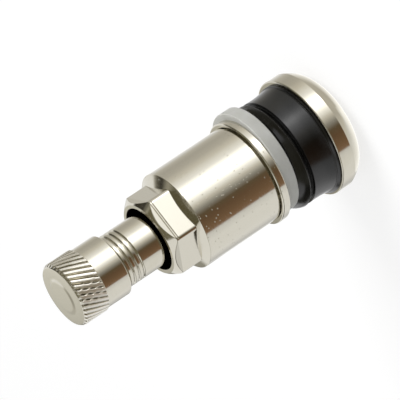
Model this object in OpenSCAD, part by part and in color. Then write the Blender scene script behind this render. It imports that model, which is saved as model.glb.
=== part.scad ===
// Clamp-in tyre valve with a knurled cap, a hexagon sleeve nut and a spring-loaded core, in millimetres.
// The valve stands on its head: the axis is +Z and the origin is the centre of the head's end.

/* [Head and stem] */
// Diameter of the head that stays inside the wheel
head_d = 17.7; // [16.6:0.1:21]
// Thickness of the head, from its end to the grommet's seat
head_h = 4.95; // [4.4:0.05:6]
// Width of the head's cylindrical band
head_band = 2.1; // [1.2:0.05:2.6]
// Radius of the head's rounded back
head_round = 4; // [3.5:0.1:4.5]
// Diameter of the stem where the nut is screwed on
nut_thread_d = 9; // [8.6:0.1:9.6]
// Diameter of the plain shank and of the cap's thread
shank_d = 7.74; // [7.4:0.02:8.2]
// Diameter of the air passage through the head
air_bore_d = 3; // [2:0.1:3.4]
// Length of stem that shows between the nut and the cap
exposed_h = 6.5; // [5.6:0.1:12]

/* [Grommet] */
// Height of the grommet between the head and the washer
grommet_h = 6.35; // [5:0.05:9]
// Largest diameter of the grommet's rounded ring
grommet_d = 15.9; // [14.6:0.1:16.4]
// Height of the rounded ring, next to the washer
ring_h = 2.1; // [1.6:0.05:3]
// Depth of the crease between the ring and the waist
crease_depth = 0.5; // [0.3:0.05:0.9]
// Height of the thin lip against the head
lip_h = 0.4; // [0.3:0.05:0.8]
// How far the lip stands out past the ring
lip_proud = 0.6; // [0.1:0.05:0.8]
// Diameter of the nose that fills the wheel's hole
nose_d = 11.3; // [10.6:0.1:11.6]
// Length of the nose
nose_h = 4.6; // [3:0.1:6]

/* [Washer] */
// How far the washer stands out past the nut's flange when it is centred
washer_proud = 0.1; // [0:0.05:0.4]
// Thickness of the washer
washer_t = 1.9; // [1:0.05:2.5]
// How far the loose washer lies off the axis
washer_shift = 0.75; // [0:0.05:0.8]

/* [Nut] */
// Diameter of the nut's flange
flange_d = 15.6; // [14.8:0.1:16.4]
// Height of the flange
flange_h = 1.25; // [0.9:0.05:2]
// Diameter of the nut's sleeve
sleeve_d = 14.4; // [14:0.1:14.7]
// Height of the sleeve, from the flange to the shoulder
sleeve_h = 12.05; // [10:0.05:16]
// Width and depth of the groove between the sleeve and the flange
groove_w = 0.25; // [0.1:0.05:0.4]
// Height of the conical shoulder between the sleeve and the hexagon
shoulder_h = 0.75; // [0.4:0.05:0.9]
// Width of the hexagon across its flats
hex_af = 11; // [10.8:0.1:11.4]
// Height of the hexagon
hex_h = 3.9; // [3.4:0.05:5]
// Angle of one corner of the hexagon about the axis, in degrees
hex_turn = 10; // [0:1:59]
// Depth of the turned chamfer at the hexagon's corners
hex_chamfer = 1.1; // [0.7:0.05:1.2]
// Height of the tilted facet at the top of each flat
facet_h = 1; // [0.6:0.05:1.05]
// Tilt of those facets towards the axis, in degrees
facet_tilt = 4; // [1:1:8]
// Depth of the plain bore in the nut's mouth
mouth_h = 2.6; // [1.5:0.1:3.2]
// Length of the nut's thread
nut_thread_h = 8.3; // [6:0.1:9]

/* [Cap] */
// Height of the cap
cap_h = 8.1; // [7.6:0.05:9]
// Diameter over the knurl
knurl_d = 9.32; // [9.2:0.02:9.8]
// Height of the knurled band
knurl_h = 3.65; // [2.8:0.05:3.8]
// Number of ridges in the knurl
knurl_n = 36; // [24:1:40]
// Slant of the ridges from the axis, in degrees
knurl_slant = 26; // [0:1:30]
// Diameter of the smooth collar below the knurl
collar_d = 8.94; // [8.86:0.02:9.1]
// Radius of the cap's rounded end
cap_round = 0.65; // [0.4:0.05:0.8]
// Diameter of the shallow dish in the cap's end
dish_d = 5.6; // [4:0.1:6.2]
// Depth of the dish
dish_h = 0.3; // [0.1:0.05:0.4]
// Thickness of the cap's end wall
cap_wall = 1.55; // [1.2:0.05:1.8]
// Thickness of the rubber disc inside the cap
cap_seal_t = 1; // [0.8:0.05:1.4]

/* [Valve core] */
// Diameter of the core's thread
core_d = 5.3; // [5:0.05:5.5]
// Depth of the pin's tip below the stem's mouth
pin_depth = 0.4; // [0.2:0.05:0.8]
// Diameter of the pin
pin_d = 0.9; // [0.7:0.05:1]
// Travel of the pin when it is pushed
pin_travel = 1.5; // [1:0.1:2]
// Height of the core's threaded plug
plug_h = 2.6; // [2:0.1:3.2]
// Height of the plug's tang for the core key
tang_h = 1.1; // [0.8:0.05:1.4]
// Outside diameter of the barrel
barrel_d = 3.5; // [3.3:0.05:3.6]
// Height of the barrel
barrel_h = 7.6; // [7:0.1:9]
// Diameter of the chamber below the seat
chamber_d = 4; // [3.9:0.05:4.2]
// Diameter of the spring's wire
wire_d = 0.25; // [0.2:0.01:0.3]
// Number of turns in the spring
spring_n = 7; // [5:1:8]

/* [Clearances] */
// Radial clearance of the pieces that turn on a thread
thread_gap = 0.05; // [0.02:0.01:0.08]
// Radial clearance of the nut's plain mouth over the stem's thread
mouth_gap = 0.19; // [0.1:0.01:0.3]
// Radial clearance of pieces that sit on each other without moving
seat_gap = 0.02; // [0.01:0.01:0.04]
// Radial clearance between the grommet's nose and the nut
nose_gap = 0.3; // [0.2:0.05:0.4]
// Clearance left beside the nose by the washer where it lies closest
washer_gap = 0.15; // [0.1:0.05:0.2]
// Radial clearance of the pin's collar in the barrel
pin_gap = 0.08; // [0.05:0.01:0.1]

/* [Hidden] */
$fn = 96;
nickel = "#cfc9ba";
brass = "#c9a750";
rubber = "#1c1c1b";
nylon = "#b9b9b2";
steel = "#9a9da1";
// Steps in a rounded stretch of an outline
arc_n = 10;
// Overlap that makes a cutter reach past the face it cuts
past = 0.5;
// Small edge break on turned edges
edge = 0.2;

// Heights along the axis
z_washer = head_h + grommet_h;
z_nut = z_washer + washer_t;
z_sleeve = z_nut + flange_h;
z_shoulder = z_sleeve + sleeve_h;
z_hex = z_shoulder + shoulder_h;
z_nut_top = z_hex + hex_h;
z_cap = z_nut_top + exposed_h;
z_cap_top = z_cap + cap_h;
z_seal = z_cap_top - cap_wall - cap_seal_t;
z_mouth = z_seal;
z_knurl_top = z_cap_top - cap_round;
z_knurl = z_knurl_top - knurl_h;
z_thread_top = z_nut_top - mouth_h;

// Heights inside the core, counted down from the stem's mouth
z_pin_tip = z_mouth - pin_depth;
tip_proud = 0.5;
z_tang_top = z_pin_tip - tip_proud;
z_plug_top = z_tang_top - tang_h;
z_barrel_top = z_plug_top - plug_h;
z_barrel = z_barrel_top - barrel_h;
seat_h = 1.7;
seat_drop = 0.6;
z_seat_top = z_barrel_top - seat_drop;
z_seat = z_seat_top - seat_h;
seal_t = 0.4;
cup_h = 0.9;
z_cup = z_barrel - seal_t - cup_h;
cup_room = 0.6;
z_chamber = z_cup - pin_travel - cup_room;

// Radii shared by pieces that fit together
core_bore_r = core_d / 2 + seat_gap;
chamber_r = chamber_d / 2;
barrel_wall = 0.45;
barrel_bore_r = barrel_d / 2 - barrel_wall;
air_gap = 0.25;
pin_hole_r = pin_d / 2 + air_gap;
collar_pin_r = barrel_bore_r - pin_gap;
spring_r = (pin_d / 2 + barrel_bore_r) / 2;
barrel_floor_h = 0.7;
collar_pin_h = 0.6;
collar_drop = 1.2;
z_collar_pin = z_barrel_top - collar_drop;
hex_corner_r = hex_af / 2 / cos(30);

// Points of a circular arc about [x, z], from angle a to angle b
function arc(x, z, r, a, b) = [for (i = [0 : arc_n])
    let (t = a + (b - a) * i / arc_n) [x + r * cos(t), z + r * sin(t)]];

// Points of a shallow bow from p to q that swells outwards by bulge at its middle
function bow(p, q, bulge) = [for (i = [0 : arc_n])
    let (t = i / arc_n) p + (q - p) * t + [bulge * sin(180 * t), 0]];

// Outline swept round the axis
module turned(points) {
    rotate_extrude() polygon(points);
}

// Plain bore along the axis from z = a to z = b
module bore(r, a, b) {
    translate([0, 0, a]) cylinder(r = r, h = b - a);
}

// Stem and head in one turned piece, bored for air and for the core
module valve_stem() {
    head_r = head_d / 2;
    shank_r = shank_d / 2;
    neck_r = nut_thread_d / 2;
    band_z = head_h - head_band;
    // The back's arc starts at the band's edge and ends level with the flat
    drop = asin((head_round - band_z) / head_round);
    back_x = head_r - head_round * cos(drop);
    color(nickel) difference() {
        turned(concat(
            [[0, 0]],
            arc(back_x, head_round, head_round, -90, -drop),
            [[head_r, head_h - edge], [head_r - edge, head_h], [neck_r, head_h],
             [neck_r, z_thread_top - (neck_r - shank_r)], [shank_r, z_thread_top],
             [shank_r, z_mouth - 2 * edge], [shank_r - 2 * edge, z_mouth], [0, z_mouth]]));
        turned([[0, -past], [air_bore_d / 2, -past], [air_bore_d / 2, z_chamber], [chamber_r, z_chamber],
                [chamber_r, z_seat], [core_bore_r, z_seat_top], [core_bore_r, z_mouth - edge],
                [core_bore_r + edge + past, z_mouth + past], [0, z_mouth + past]]);
    }
}

// Moulded rubber seal: lip, waist, crease, rounded ring and the nose inside the nut
module grommet() {
    r = grommet_d / 2;
    crease_z = z_washer - ring_h;
    // The crease is a wide V, and from its edge the ring draws in to the washer, a little swollen
    crease_w = 0.45;
    ring_low_r = r - 0.02;
    ring_top_r = r - 0.85;
    ring_bulge = 0.12;
    // The waist narrows from the lip to the crease, a little hollow between them
    waist_low_r = r + 0.15;
    waist_top_r = r - 0.08;
    waist_hollow = 0.1;
    // The lip's edge lies low, against the head, and its face slopes in to the waist
    lip_r = r + lip_proud;
    lip_soft = 0.1;
    lip_lean = 0.3;
    z_lip = head_h + lip_h;
    nose_r = nose_d / 2;
    bore_r = nut_thread_d / 2 + seat_gap;
    color(rubber) turned(concat(
        [[bore_r, head_h], [lip_r - lip_soft, head_h], [lip_r, head_h + lip_soft],
         [lip_r - lip_lean, z_lip]],
        bow([waist_low_r, z_lip + lip_soft], [waist_top_r, crease_z - crease_w], -waist_hollow),
        [[r - crease_depth, crease_z]],
        bow([ring_low_r, crease_z + crease_w], [ring_top_r, z_washer], ring_bulge),
        [[nose_r, z_washer], [nose_r, z_washer + nose_h - edge], [nose_r - edge, z_washer + nose_h],
         [bore_r, z_washer + nose_h]]));
}

// Loose washer, lying off centre as far as the nose lets it
module rim_washer() {
    r = flange_d / 2 + washer_proud;
    hole_r = nose_d / 2 + washer_shift + washer_gap;
    break_r = edge / 2;
    color(nylon) translate([washer_shift, 0, 0])
        turned([[hole_r, z_washer], [r - break_r, z_washer], [r, z_washer + break_r], [r, z_nut - break_r],
                [r - break_r, z_nut], [hole_r, z_nut]]);
}

// Hexagon prism that reaches down into the sleeve, with a tilted facet at the top of each flat
module faceted_hexagon() {
    difference() {
        translate([0, 0, z_hex - 2 * past]) rotate(hex_turn)
            cylinder(r = hex_corner_r, h = hex_h + 2 * past, $fn = 6);
        for (i = [0 : 5]) rotate(hex_turn + 30 + 60 * i)
            translate([hex_af / 2, 0, z_nut_top - facet_h]) rotate([0, -facet_tilt, 0])
                translate([0, -hex_af / 2, -past]) cube([2 * past, hex_af, facet_h + 3 * past]);
    }
}

// Sleeve nut in one piece: flange, groove, sleeve, conical shoulder and chamfered hexagon
module clamp_nut() {
    flange_r = flange_d / 2;
    sleeve_r = sleeve_d / 2;
    thread_r = nut_thread_d / 2 + thread_gap;
    mouth_r = nut_thread_d / 2 + mouth_gap;
    socket_r = nose_d / 2 + nose_gap;
    socket_cone = 1;
    z_thread = z_thread_top - nut_thread_h;
    // The shoulder meets the middle of each flat at the hexagon's foot and runs on inside it
    inner_r = hex_af / 2 - past;
    z_inner = z_hex + shoulder_h * past / (sleeve_r - hex_af / 2);
    color(nickel) difference() {
        union() {
            turned([[0, z_nut], [flange_r - edge, z_nut], [flange_r, z_nut + edge],
                    [flange_r, z_sleeve - edge], [flange_r - edge, z_sleeve], [sleeve_r - groove_w, z_sleeve],
                    [sleeve_r - groove_w, z_sleeve + groove_w], [sleeve_r, z_sleeve + groove_w],
                    [sleeve_r, z_shoulder], [inner_r, z_inner], [0, z_inner]]);
            intersection() {
                faceted_hexagon();
                turned([[0, z_hex - 3 * past], [hex_corner_r + past, z_hex - 3 * past],
                        [hex_corner_r + past, z_nut_top - hex_chamfer - past],
                        [hex_corner_r - hex_chamfer, z_nut_top], [0, z_nut_top]]);
            }
        }
        turned([[0, z_nut - past], [socket_r, z_nut - past], [socket_r, z_thread - socket_cone],
                [thread_r, z_thread], [thread_r, z_thread_top], [mouth_r, z_thread_top],
                [mouth_r, z_nut_top - edge / 2], [mouth_r + edge / 2 + past, z_nut_top + past],
                [0, z_nut_top + past]]);
    }
}

// Dust cap: rounded end with a shallow dish, knurled band, smooth collar, bored for the thread and the seal
module valve_cap() {
    knurl_r = knurl_d / 2;
    collar_r = collar_d / 2;
    dish_r = dish_d / 2;
    bore_r = shank_d / 2 + thread_gap;
    color(nickel) difference() {
        union() {
            turned(concat(
                [[0, z_cap], [collar_r - edge, z_cap], [collar_r, z_cap + edge], [collar_r, z_knurl_top]],
                arc(knurl_r - cap_round, z_knurl_top, cap_round, 0, 90),
                [[dish_r + edge, z_cap_top], [dish_r - edge, z_cap_top - dish_h], [0, z_cap_top - dish_h]]));
            knurl_ring();
        }
        turned([[0, z_cap - past], [bore_r + edge + past, z_cap - past], [bore_r, z_cap + edge],
                [bore_r, z_seal + cap_seal_t], [0, z_seal + cap_seal_t]]);
    }
}

// Ring of slanted ridges: slanted V grooves cut from a plain ring, as deep as the step down to the collar
module knurl_ring() {
    r = knurl_d / 2;
    step = (knurl_d - collar_d) / 2;
    // Each groove takes this share of the spacing, and stops just short of the collar's surface
    groove_share = 0.66;
    groove_depth = step - 0.01;
    half_w = groove_share * PI * r / knurl_n;
    cut_h = knurl_h / cos(knurl_slant) + 4 * past;
    difference() {
        bore(r, z_knurl, z_knurl_top);
        bore(r - step - past, z_knurl - past, z_knurl_top + past);
        for (i = [0 : knurl_n - 1]) rotate(360 * i / knurl_n)
            translate([0, 0, z_knurl + knurl_h / 2]) rotate([-knurl_slant, 0, 0])
                linear_extrude(height = cut_h, center = true)
                    polygon([[r - groove_depth, 0], [r + groove_depth, 2 * half_w],
                             [r + groove_depth, -2 * half_w]]);
    }
}

// Rubber disc between the stem's mouth and the cap's end wall
module cap_seal() {
    color(rubber) bore(shank_d / 2 - seat_gap, z_seal, z_seal + cap_seal_t);
}

// Threaded plug that holds the core down, with a tang for its key and air gaps beside the pin
module core_plug() {
    tang_w = 2.2;
    color(brass) difference() {
        union() {
            bore(core_d / 2, z_barrel_top, z_plug_top);
            intersection() {
                bore(core_d / 2 - edge, z_plug_top - past, z_tang_top);
                translate([-core_d / 2, -tang_w / 2, z_plug_top - past])
                    cube([core_d, tang_w, tang_h + 2 * past]);
            }
        }
        bore(pin_hole_r, z_barrel_top - past, z_tang_top + past);
    }
}

// Barrel of the core, bored for the spring, with a floor that the spring stands on
module core_barrel() {
    color(brass) difference() {
        bore(barrel_d / 2, z_barrel, z_barrel_top);
        bore(barrel_bore_r, z_barrel + barrel_floor_h, z_barrel_top + past);
        bore(pin_hole_r, z_barrel - past, z_barrel_top);
    }
}

// Conical gasket round the barrel, in the stem's conical seat
module barrel_gasket() {
    inner_r = barrel_d / 2 + seat_gap;
    gap = 3 * seat_gap;
    trim = 0.25;
    slope = (core_bore_r - chamber_r) / seat_h;
    color(rubber) turned([[inner_r, z_seat + trim], [chamber_r + slope * trim - gap, z_seat + trim],
                          [core_bore_r - slope * trim - gap, z_seat_top - trim],
                          [inner_r, z_seat_top - trim]]);
}

// Pin with the collar that the spring lifts
module core_pin() {
    color(brass) union() {
        bore(pin_d / 2, z_cup + cup_h / 2, z_pin_tip);
        bore(collar_pin_r, z_collar_pin, z_collar_pin + collar_pin_h);
    }
}

// Point j of the ring of wire at step i along the spring
function spring_point(i, j, steps, sides, low, high) =
    let (turn = 360 * spring_n * i / steps, side = 360 * j / sides, r = spring_r + wire_d / 2 * cos(side))
    [r * cos(turn), r * sin(turn), low + (high - low) * i / steps + wire_d / 2 * sin(side)];

// Coil spring between the barrel's floor and the pin's collar
module pin_spring() {
    sides = 6;
    steps = 16 * spring_n;
    low = z_barrel + barrel_floor_h + wire_d / 2;
    high = z_collar_pin - wire_d / 2;
    points = [for (i = [0 : steps]) for (j = [0 : sides - 1]) spring_point(i, j, steps, sides, low, high)];
    walls = [for (i = [0 : steps - 1]) for (j = [0 : sides - 1])
        [i * sides + j, (i + 1) * sides + j, (i + 1) * sides + (j + 1) % sides, i * sides + (j + 1) % sides]];
    first = [for (j = [0 : sides - 1]) j];
    last = [for (j = [sides - 1 : -1 : 0]) steps * sides + j];
    color(steel) polyhedron(points, concat(walls, [first, last]));
}

// Cup at the pin's lower end that carries the seat's seal
module plunger_cup() {
    r = barrel_d / 2 - edge / 2;
    color(brass) difference() {
        bore(r, z_cup, z_cup + cup_h);
        bore(pin_d / 2 + seat_gap, z_cup + cup_h / 2 - seat_gap, z_cup + cup_h + past);
    }
}

// Rubber ring on the cup, closed against the barrel's lower rim
module seat_seal() {
    color(rubber) difference() {
        bore(barrel_d / 2 - edge, z_cup + cup_h, z_barrel);
        bore(pin_d / 2 + seat_gap, z_cup, z_barrel + past);
    }
}

valve_stem();
grommet();
rim_washer();
clamp_nut();
valve_cap();
cap_seal();
core_plug();
core_barrel();
barrel_gasket();
core_pin();
pin_spring();
plunger_cup();
seat_seal();
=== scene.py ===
"""Looks of a clamp-in tyre valve: nickel-plated stem, cap and sleeve nut, black grommet and nylon washer.

Sizes are in millimetres in the part's own frame: the valve stands on its head, +Z is its axis and
-Y faces the camera. Each surface is a grid of points: a turned outline carried round the axis.
"""

import logging
import math
from dataclasses import dataclass, field
from enum import Enum
from typing import Any, ClassVar

import bpy
import numpy as np
from bpy.types import Material, NodeSocket, NodeTree, Object, World
from mathutils import Matrix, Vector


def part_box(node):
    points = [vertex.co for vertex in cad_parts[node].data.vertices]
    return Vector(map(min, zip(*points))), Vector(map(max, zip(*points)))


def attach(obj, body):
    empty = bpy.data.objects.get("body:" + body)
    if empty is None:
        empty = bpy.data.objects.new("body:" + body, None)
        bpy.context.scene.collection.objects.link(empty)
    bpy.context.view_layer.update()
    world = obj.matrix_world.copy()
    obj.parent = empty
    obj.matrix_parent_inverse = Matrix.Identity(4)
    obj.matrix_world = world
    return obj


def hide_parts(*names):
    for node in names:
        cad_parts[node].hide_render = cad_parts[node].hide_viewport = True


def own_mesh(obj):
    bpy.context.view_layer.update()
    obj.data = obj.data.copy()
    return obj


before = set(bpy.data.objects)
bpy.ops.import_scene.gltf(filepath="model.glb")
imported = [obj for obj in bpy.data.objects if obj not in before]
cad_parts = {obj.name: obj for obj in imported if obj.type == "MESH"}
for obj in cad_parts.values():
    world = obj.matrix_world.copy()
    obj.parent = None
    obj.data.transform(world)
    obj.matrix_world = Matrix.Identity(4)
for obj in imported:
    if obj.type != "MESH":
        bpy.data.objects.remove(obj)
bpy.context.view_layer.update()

Array = np.ndarray
Pair = tuple[float, float]
LOG = logging.getLogger("tyre_valve")
MM = 0.001
TURN = 2.0 * math.pi
# Points in a rounded corner, and how close to its ends a straight stretch has its outer points
FILLET_STEPS = 7
GUARD = 0.04
# Radii of machined edges: left sharp, just broken and eased
SHARP, BREAK, EASED = 0.04, 0.05, 0.1
# Slack for telling rows of points apart by their place
SLACK = 0.01
# Sizes that two pieces share: radius of the grommet's nose and depth of the nut's mouth
NOSE_R, MOUTH_H = 5.65, 2.6
# Half of the angle that one side of a hexagon takes
HALF_SIDE = math.radians(30.0)
# Attribute of a knurled piece: 1 on a crest, 0 in a groove and the value below where the plate is plain.
# The knurled finish paints a highlight on the crests and shade in the grooves from it, and roughens the
# crests
KNURL_LAYER = "knurl"
PLAIN_KNURL_LEVEL = 0.5
# Attribute with the colours of a glowing card
GLOW_LAYER = "glow"
WHITE = (1.0, 1.0, 1.0, 1.0)


class Slot(Enum):
    """Material slots of the part's record, one named by each new piece."""

    NICKEL = "nickel_plate"
    RUBBER = "black_rubber"
    NYLON = "pale_nylon"


class Ends(Enum):
    """How a grid of points closes along its outline."""

    LOOP = "the outline returns to its start"
    OPEN = "the outline has two ends, which lie on the axis where it makes a whole piece"


@dataclass(frozen=True)
class Corner:
    """One corner of a turned outline.

    r, z: place in millimetres. fillet: radius that rounds it. step: longest spacing of points on the
    straight stretch that follows. bend: the stretch that follows is one step of a curve.
    """

    r: float
    z: float
    fillet: float = 0.0
    step: float = 1.0
    bend: bool = False


@dataclass(frozen=True)
class Span:
    """Box of one node of the frame, in millimetres."""

    low: Array
    high: Array

    @classmethod
    def of(cls, node: str) -> "Span":
        """The box of a node by its name."""
        low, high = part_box(node)
        return cls(np.array(low) / MM, np.array(high) / MM)

    @property
    def radius(self) -> float:
        """Half of the box's smaller width, so that a round piece stays inside the box of its solid."""
        return float((self.high - self.low)[:2].min()) / 2

    @property
    def bottom(self) -> float:
        """Lowest height."""
        return float(self.low[2])

    @property
    def top(self) -> float:
        """Greatest height."""
        return float(self.high[2])


def span_of(node: str) -> Any:
    """Dataclass field that holds the box of a node."""
    return field(default_factory=lambda: Span.of(node))


def smooth_step(low: float, high: float, value: Array) -> Array:
    """Ramp from 0 at low to 1 at high with level ends: 3 t^2 - 2 t^3."""
    t = np.clip((value - low) / (high - low), 0.0, 1.0)
    return t * t * (3.0 - 2.0 * t)


def unit(vectors: Array) -> Array:
    """Rows scaled to length 1."""
    return vectors / np.linalg.norm(vectors, axis=-1, keepdims=True)


def curve_corners(r: Array, z: Array) -> list[Corner]:
    """One corner for each point of a curve, all but the last marked as steps of it."""
    last = len(r) - 1
    return [Corner(float(a), float(b), bend=i < last) for i, (a, b) in enumerate(zip(r, z))]


def straight_points(start: Array, end: Array, step: float) -> Array:
    """Points inside a straight stretch, with one close to each end so that it shades flat.

    Args:
        start: first end of the stretch.
        end: other end of the stretch.
        step: longest spacing.

    Returns:
        Points between the two ends, which are left out.
    """
    length = float(np.linalg.norm(end - start))
    if length < 3 * GUARD:
        return np.empty((0, 2))
    inner = np.linspace(GUARD, length - GUARD, max(2, math.ceil(length / step) + 1))
    return start + (end - start) * (inner / length)[:, None]


def rounded_outline(corners: list[Corner], ends: Ends = Ends.LOOP) -> Array:
    """Outline through the corners, each rounded by its fillet.

    A fillet of radius f in a corner of angle 2 h touches both sides f / tan h from the corner, and its
    points turn evenly from one touching point to the other about its centre.

    Args:
        corners: the outline's corners, counter-clockwise with r to the right and z up.
        ends: whether the outline closes on itself.

    Returns:
        Points (r, z) along the outline.
    """
    points = np.array([(c.r, c.z) for c in corners])
    fillets = np.array([c.fillet for c in corners])
    before = unit(np.roll(points, 1, axis=0) - points)
    after = unit(np.roll(points, -1, axis=0) - points)
    half = 0.5 * np.arccos(np.clip((before * after).sum(axis=1), -1.0, 1.0))
    cut = (fillets / np.tan(half))[:, None]
    enter, leave = points + before * cut, points + after * cut
    turn = np.linspace(0.0, 1.0, FILLET_STEPS)[:, None]
    stretches = []
    for i, corner in enumerate(corners):
        if corner.fillet > 0.0:
            centre = points[i] + unit(before[i] + after[i]) * corner.fillet / math.sin(half[i])
            sweep = math.pi - 2.0 * half[i]
            first, last = np.sin((1.0 - turn) * sweep), np.sin(turn * sweep)
            blend = first * (enter[i] - centre) + last * (leave[i] - centre)
            stretches.append(centre + blend / math.sin(sweep))
        else:
            stretches.append(points[i][None])
        following = (i + 1) % len(corners)
        if not corner.bend and not (ends is Ends.OPEN and following == 0):
            stretches.append(straight_points(leave[i], enter[following], corner.step))
    return np.concatenate(stretches)


def even_angles(columns: int) -> Array:
    """Angles of evenly spaced columns round the axis, in radians."""
    return np.arange(columns) * (TURN / columns)


def swept(r: Array, z: Array | float, angle: Array) -> Array:
    """Grid of points from polar values, spread to rows and columns: x = r cos a, y = r sin a, z = z."""
    r, z, angle = np.broadcast_arrays(r, z, angle)
    return np.stack([r * np.cos(angle), r * np.sin(angle), z], axis=-1)


def grid_faces(rows: int, columns: int, ends: Ends, closed: bool = True) -> Array:
    """Quads between neighbouring points of a grid.

    Args:
        rows: number of rows.
        columns: number of columns.
        ends: whether the last row joins the first.
        closed: whether the last column joins the first, as it does round the axis.

    Returns:
        Four point numbers per quad, counter-clockwise seen from outside.
    """
    i = np.arange(rows if ends is Ends.LOOP else rows - 1)[:, None]
    j = np.arange(columns if closed else columns - 1)[None, :]
    i_next, j_next = (i + 1) % rows, (j + 1) % columns
    corners = [i * columns + j, i * columns + j_next, i_next * columns + j_next, i_next * columns + j]
    return np.stack(corners, axis=-1).reshape(-1, 4)


def listed(values: Array, ends: Ends) -> Array:
    """Values of a grid in the order of its mesh's points.

    Args:
        values: one value, or one row of values, per point of the grid.
        ends: how the rows close.

    Returns:
        All values row by row, or those between the poles and then one for each pole.
    """
    if ends is Ends.LOOP:
        return values.reshape(-1, *values.shape[2:])
    return np.concatenate([values[1:-1].reshape(-1, *values.shape[2:]), values[0, :1], values[-1, :1]])


def linked(name: str, data: Any) -> Object:
    """Object at the origin for a new mesh, lamp or camera, linked to the scene."""
    made = bpy.data.objects.new(name, data)
    bpy.context.scene.collection.objects.link(made)
    return made


def new_mesh(name: str, points: Array, faces: list[list[int]], material: Material) -> Object:
    """Mesh object at the origin.

    Args:
        name: its name.
        points: places in millimetres.
        faces: point numbers of each face.
        material: its material.

    Returns:
        The new object.
    """
    mesh = bpy.data.meshes.new(name)
    mesh.from_pydata((points * MM).tolist(), [], faces)
    mesh.materials.append(material)
    LOG.info("%s: %d points, %d faces of %s", name, len(points), len(faces), material.name)
    return linked(name, mesh)


def stand(made: Object, place: Array, aim: Array, roll: float = 0.0) -> None:
    """Stands a lamp or camera in the scene, turned to what it looks at.

    Args:
        made: the lamp or camera.
        place: where it stands, in millimetres.
        aim: what it looks at, in millimetres.
        roll: turn about its line of sight, in radians.
    """
    back = unit(place - aim)
    side = unit(np.cross((0.0, 0.0, 1.0), back))
    matrix = np.eye(4)
    matrix[:3, :3] = np.stack([side, np.cross(back, side), back], axis=1)
    matrix[:3, 3] = place * MM
    made.matrix_world = Matrix(matrix.tolist()) @ Matrix.Rotation(roll, 4, "Z")


def linear(code: str, scale: float = 1.0) -> tuple[float, float, float, float]:
    """Linear colour of an sRGB hex value.

    Args:
        code: six hex digits after a hash.
        scale: factor on the linear colour.

    Returns:
        Red, green, blue and an alpha of 1.
    """
    parts = np.array([int(code[i:i + 2], 16) for i in (1, 3, 5)]) / 255.0
    values = np.where(parts <= 0.04045, parts / 12.92, ((parts + 0.055) / 1.055) ** 2.4) * scale
    return (*values.tolist(), 1.0)


def per_metre(size_mm: float) -> float:
    """Texture scale at which one cell of a pattern measures size_mm."""
    return 1.0 / (size_mm * MM)


@dataclass(frozen=True)
class Nodes:
    """Node tree of a material or world under construction."""

    tree: NodeTree

    @classmethod
    def of(cls, owner: Material | World) -> "Nodes":
        """The emptied tree of a new material or world."""
        owner.use_nodes = True
        owner.node_tree.nodes.clear()
        return cls(owner.node_tree)

    def add(self, kind: str, inputs: dict[Any, Any] | None = None,
            stops: list[tuple[float, tuple]] | None = None, **settings: Any) -> Any:
        """Adds a shader node with its settings, input values and links.

        Args:
            kind: the node's type, without the ShaderNode that all of them start with.
            inputs: values or output sockets by the input's name or number.
            stops: for a colour ramp, its positions and colours in rising order.
            settings: the node's own properties.

        Returns:
            The new node's outputs.
        """
        node = self.tree.nodes.new("ShaderNode" + kind)
        for key, value in settings.items():
            setattr(node, key, value)
        for key, value in (inputs or {}).items():
            if isinstance(value, NodeSocket):
                self.tree.links.new(value, node.inputs[key])
            else:
                node.inputs[key].default_value = value
        for i, (position, colour) in enumerate(stops or []):
            elements = node.color_ramp.elements
            element = elements[i] if i < len(elements) else elements.new(position)
            element.position, element.color = position, colour
        return node.outputs

    def seen(self) -> NodeSocket:
        """Adds a socket that is 1 for rays of the camera, of reflections and through glass, else 0."""
        path = self.add("LightPath")
        seen = path["Is Camera Ray"]
        for kind in ("Is Glossy Ray", "Is Transmission Ray"):
            seen = self.add("Math", {0: seen, 1: path[kind]}, operation="MAXIMUM")[0]
        return seen


@dataclass(frozen=True)
class Noise:
    """Cloudy pattern of a finish.

    size: its cells in millimetres. detail: finer layers in it. turned: how fast it changes across the axis
    next to along it, so that a small value draws rings round the piece.
    """

    size: float
    detail: float
    turned: float = 1.0

    def value(self, nodes: Nodes) -> NodeSocket:
        """Adds the pattern and gives its value.

        Args:
            nodes: the material's nodes.

        Returns:
            Socket with the pattern's value.
        """
        place = nodes.add("TexCoord")["Object"]
        if self.turned != 1.0:
            squeezed = (self.turned, self.turned, 1.0)
            place = nodes.add("Mapping", {"Vector": place, "Scale": squeezed})["Vector"]
        cells = {"Vector": place, "Scale": per_metre(self.size), "Detail": self.detail}
        return nodes.add("TexNoise", cells)["Fac"]


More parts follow.
